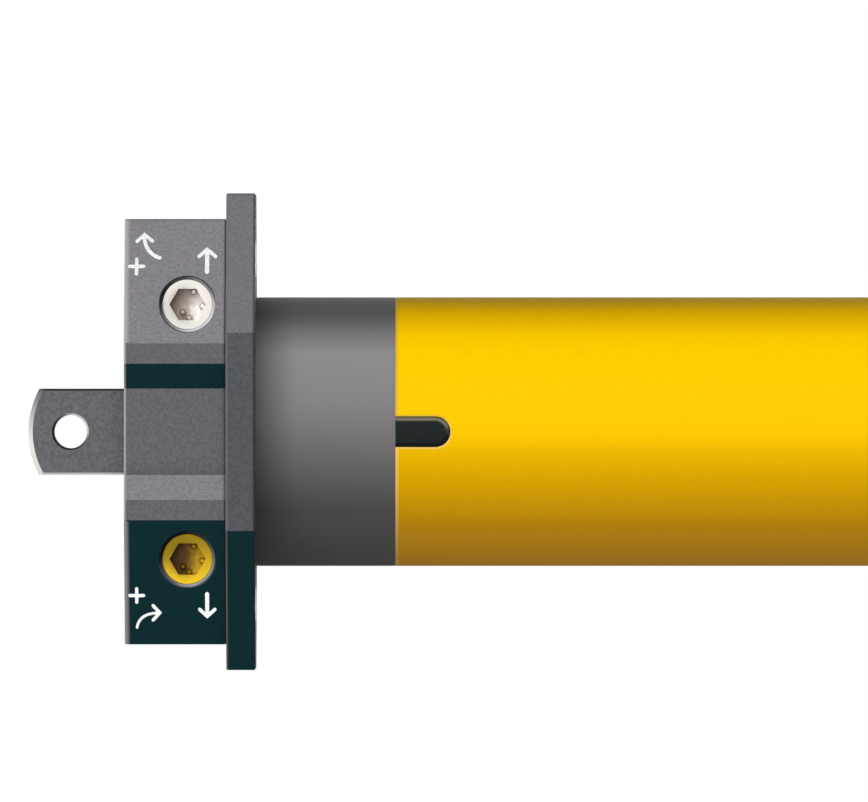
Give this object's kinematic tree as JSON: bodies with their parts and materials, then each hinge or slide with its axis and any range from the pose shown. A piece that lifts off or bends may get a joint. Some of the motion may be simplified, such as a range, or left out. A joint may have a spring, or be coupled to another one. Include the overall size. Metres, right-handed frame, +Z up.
{
  "type": "tubular roller blind motor",
  "caption": "Tubular motor for a roller blind: octagonal fixing head with a pinned square tongue, limit drive ring, two limit adjusters, a yellow steel tube and a hexagonal output.",
  "frame": {"origin": "centre of the locking pin hole in the mounting tongue, on the motor's axis", "axes": "+X along the motor's axis from the head to the output; +Y along the locking pin hole, away from the adjusters' side; +Z up, towards the white adjuster"},
  "size_m": [0.438, 0.0886, 0.0886],
  "materials": {
    "cast_tongue": "cast, satin",
    "head_moulding": "fine moulded grain",
    "flange_moulding": "fine moulded grain",
    "ring_plastic": "smooth satin",
    "yellow_steel": "smooth paint",
    "neck_plastic": "satin",
    "black_plastic": "satin",
    "white_acetal": "smooth",
    "yellow_acetal": "smooth",
    "red_plastic": "smooth",
    "gear_nylon": "smooth",
    "capacitor_case": "smooth",
    "zinc_steel": "zinc plated",
    "bright_steel": "machined",
    "black_steel": "blackened",
    "core_steel": "laminated",
    "cast_aluminium": "as cast",
    "brass": "machined",
    "bronze": "sintered",
    "copper": "enamelled wire",
    "friction_lining": "matte"
  },
  "bodies": {
    "motor_body": {"mounting_tongue": "cast_tongue", "head_housing": "head_moulding", "flange_plate": "flange_moulding", "base_screws": "zinc_steel", "flange_screws": "zinc_steel", "cable_socket": "black_plastic", "socket_contacts": "brass", "neck": "neck_plastic", "clamp_plate": "zinc_steel", "clamp_screws": "black_steel", "casing": "yellow_steel", "casing_rivets": "zinc_steel", "switch_chassis": "black_plastic", "capacitor": "capacitor_case", "capacitor_holder": "black_plastic", "front_shield": "cast_aluminium", "rear_shield": "cast_aluminium", "motor_bushes": "bronze", "stator_core": "core_steel", "stator_windings": "copper", "brake_magnet": "black_steel", "brake_spring": "bright_steel", "gearbox_housing": "cast_aluminium", "end_cap": "neck_plastic", "output_bush": "bronze"},
    "drive_ring": {"limit_ring": "ring_plastic"},
    "ring_spindle_a": {"spindle_a": "bright_steel"},
    "ring_spindle_b": {"spindle_b": "bright_steel"},
    "nut_a": {"travel_nut_a": "brass"},
    "nut_b": {"travel_nut_b": "brass"},
    "white_adjuster": {"adjuster_white": "white_acetal"},
    "yellow_adjuster": {"adjuster_yellow": "yellow_acetal"},
    "setting_screw_a": {"adjusting_screw_a": "bright_steel"},
    "setting_screw_b": {"adjusting_screw_b": "bright_steel"},
    "carriage_a": {"switch_carriage_a": "white_acetal", "microswitch_a": "black_plastic"},
    "carriage_b": {"switch_carriage_b": "yellow_acetal", "microswitch_b": "black_plastic"},
    "plunger_a": {"switch_plunger_a": "red_plastic"},
    "plunger_b": {"switch_plunger_b": "red_plastic"},
    "rotor": {"rotor_core": "core_steel", "motor_shaft": "bright_steel", "brake_disc": "friction_lining", "sun_gear": "bright_steel"},
    "armature": {"brake_armature": "zinc_steel"},
    "planet_gear_1a": {"planet_1a": "gear_nylon"},
    "planet_gear_1b": {"planet_1b": "gear_nylon"},
    "planet_gear_1c": {"planet_1c": "gear_nylon"},
    "planet_gear_2a": {"planet_2a": "bright_steel"},
    "planet_gear_2b": {"planet_2b": "bright_steel"},
    "planet_gear_2c": {"planet_2c": "bright_steel"},
    "planet_gear_3a": {"planet_3a": "bright_steel"},
    "planet_gear_3b": {"planet_3b": "bright_steel"},
    "planet_gear_3c": {"planet_3c": "bright_steel"},
    "stage_1_carrier": {"carrier_1": "bright_steel"},
    "stage_2_carrier": {"carrier_2": "bright_steel"},
    "output": {"carrier_3": "bright_steel", "output_shaft": "bright_steel", "output_circlip": "black_steel"}
  },
  "joints": [
    {"name": "ring_spin", "type": "hinge", "parent": "motor_body", "child": "drive_ring", "pos_m": [0.04745, 0, 0], "axis": [1, 0, 0], "range_deg": [-7200, 7200]},
    {"name": "spindle_a_spin", "type": "hinge", "parent": "motor_body", "child": "ring_spindle_a", "pos_m": [0.11505, -0.0108, 0], "axis": [1, 0, 0], "range_deg": [-14400, 14400]},
    {"name": "nut_a_slide", "type": "slide", "parent": "motor_body", "child": "nut_a", "axis": [1, 0, 0], "range_m": [-0.01401, 0.01401]},
    {"name": "spindle_b_spin", "type": "hinge", "parent": "motor_body", "child": "ring_spindle_b", "pos_m": [0.11505, 0.0108, 0], "axis": [1, 0, 0], "range_deg": [-14400, 14400]},
    {"name": "nut_b_slide", "type": "slide", "parent": "motor_body", "child": "nut_b", "axis": [1, 0, 0], "range_m": [-0.01401, 0.01401]},
    {"name": "white_adjuster_turn", "type": "hinge", "parent": "motor_body", "child": "white_adjuster", "pos_m": [0.0219, 0, 0.0236], "axis": [0, 1, 0], "range_deg": [-14400, 14400]},
    {"name": "setting_screw_a_turn", "type": "hinge", "parent": "motor_body", "child": "setting_screw_a", "pos_m": [0.0219, 0, 0.012], "axis": [1, 0, 0], "range_deg": [-720, 720]},
    {"name": "carriage_a_slide", "type": "slide", "parent": "motor_body", "child": "carriage_a", "axis": [1, 0, 0], "range_m": [-0.003, 0.003]},
    {"name": "plunger_a_press", "type": "slide", "parent": "carriage_a", "child": "plunger_a", "axis": [1, 0, 0], "range_m": [-0.0006, 0], "stiffness_N_per_m": 100, "springref_m": 0.001},
    {"name": "yellow_adjuster_turn", "type": "hinge", "parent": "motor_body", "child": "yellow_adjuster", "pos_m": [0.0219, 0, -0.0236], "axis": [0, 1, 0], "range_deg": [-14400, 14400]},
    {"name": "setting_screw_b_turn", "type": "hinge", "parent": "motor_body", "child": "setting_screw_b", "pos_m": [0.0219, 0, -0.012], "axis": [1, 0, 0], "range_deg": [-720, 720]},
    {"name": "carriage_b_slide", "type": "slide", "parent": "motor_body", "child": "carriage_b", "axis": [1, 0, 0], "range_m": [-0.003, 0.003]},
    {"name": "plunger_b_press", "type": "slide", "parent": "carriage_b", "child": "plunger_b", "axis": [-1, 0, 0], "range_m": [-0.0006, 0], "stiffness_N_per_m": 100, "springref_m": 0.001},
    {"name": "rotor_spin", "type": "hinge", "parent": "motor_body", "child": "rotor", "pos_m": [0.25545, 0, 0], "axis": [1, 0, 0], "continuous": true},
    {"name": "armature_lift", "type": "slide", "parent": "motor_body", "child": "armature", "axis": [1, 0, 0], "range_m": [-0.0003, 0], "stiffness_N_per_m": 1000, "springref_m": 0.001},
    {"name": "stage_1_spin", "type": "hinge", "parent": "motor_body", "child": "stage_1_carrier", "pos_m": [0.33305, 0, 0], "axis": [1, 0, 0], "continuous": true},
    {"name": "planet_1a_spin", "type": "hinge", "parent": "stage_1_carrier", "child": "planet_gear_1a", "pos_m": [0.33305, 0.01238, 0], "axis": [1, 0, 0], "continuous": true},
    {"name": "planet_1b_spin", "type": "hinge", "parent": "stage_1_carrier", "child": "planet_gear_1b", "pos_m": [0.33305, -0.00619, 0.01072], "axis": [1, 0, 0], "continuous": true},
    {"name": "planet_1c_spin", "type": "hinge", "parent": "stage_1_carrier", "child": "planet_gear_1c", "pos_m": [0.33305, -0.00619, -0.01072], "axis": [1, 0, 0], "continuous": true},
    {"name": "stage_2_spin", "type": "hinge", "parent": "motor_body", "child": "stage_2_carrier", "pos_m": [0.34625, 0, 0], "axis": [1, 0, 0], "continuous": true},
    {"name": "planet_2a_spin", "type": "hinge", "parent": "stage_2_carrier", "child": "planet_gear_2a", "pos_m": [0.34625, 0.01238, 0], "axis": [1, 0, 0], "continuous": true},
    {"name": "planet_2b_spin", "type": "hinge", "parent": "stage_2_carrier", "child": "planet_gear_2b", "pos_m": [0.34625, -0.00619, 0.01072], "axis": [1, 0, 0], "continuous": true},
    {"name": "planet_2c_spin", "type": "hinge", "parent": "stage_2_carrier", "child": "planet_gear_2c", "pos_m": [0.34625, -0.00619, -0.01072], "axis": [1, 0, 0], "continuous": true},
    {"name": "output_spin", "type": "hinge", "parent": "motor_body", "child": "output", "pos_m": [0.36245, 0, 0], "axis": [1, 0, 0], "continuous": true},
    {"name": "planet_3a_spin", "type": "hinge", "parent": "output", "child": "planet_gear_3a", "pos_m": [0.36245, 0.01238, 0], "axis": [1, 0, 0], "continuous": true},
    {"name": "planet_3b_spin", "type": "hinge", "parent": "output", "child": "planet_gear_3b", "pos_m": [0.36245, -0.00619, 0.01072], "axis": [1, 0, 0], "continuous": true},
    {"name": "planet_3c_spin", "type": "hinge", "parent": "output", "child": "planet_gear_3c", "pos_m": [0.36245, -0.00619, -0.01072], "axis": [1, 0, 0], "continuous": true}
  ],
  "couplings": [
    {"joint": "spindle_a_spin", "follows": "ring_spin", "ratio": 2},
    {"joint": "nut_a_slide", "follows": "ring_spin", "m_per_rad": -0.00011141},
    {"joint": "spindle_b_spin", "follows": "ring_spin", "ratio": 2},
    {"joint": "nut_b_slide", "follows": "ring_spin", "m_per_rad": -0.00011141},
    {"joint": "setting_screw_a_turn", "follows": "white_adjuster_turn", "ratio": -0.05},
    {"joint": "carriage_a_slide", "follows": "white_adjuster_turn", "m_per_rad": 0.000011937},
    {"joint": "setting_screw_b_turn", "follows": "yellow_adjuster_turn", "ratio": 0.05},
    {"joint": "carriage_b_slide", "follows": "yellow_adjuster_turn", "m_per_rad": -0.000011937},
    {"joint": "stage_1_spin", "follows": "rotor_spin", "ratio": 0.18182},
    {"joint": "planet_1a_spin", "follows": "rotor_spin", "ratio": -0.46753},
    {"joint": "planet_1b_spin", "follows": "rotor_spin", "ratio": -0.46753},
    {"joint": "planet_1c_spin", "follows": "rotor_spin", "ratio": -0.46753},
    {"joint": "stage_2_spin", "follows": "rotor_spin", "ratio": 0.033058},
    {"joint": "planet_2a_spin", "follows": "rotor_spin", "ratio": -0.085006},
    {"joint": "planet_2b_spin", "follows": "rotor_spin", "ratio": -0.085006},
    {"joint": "planet_2c_spin", "follows": "rotor_spin", "ratio": -0.085006},
    {"joint": "output_spin", "follows": "rotor_spin", "ratio": 0.0060105},
    {"joint": "planet_3a_spin", "follows": "rotor_spin", "ratio": -0.015456},
    {"joint": "planet_3b_spin", "follows": "rotor_spin", "ratio": -0.015456},
    {"joint": "planet_3c_spin", "follows": "rotor_spin", "ratio": -0.015456}
  ]
}
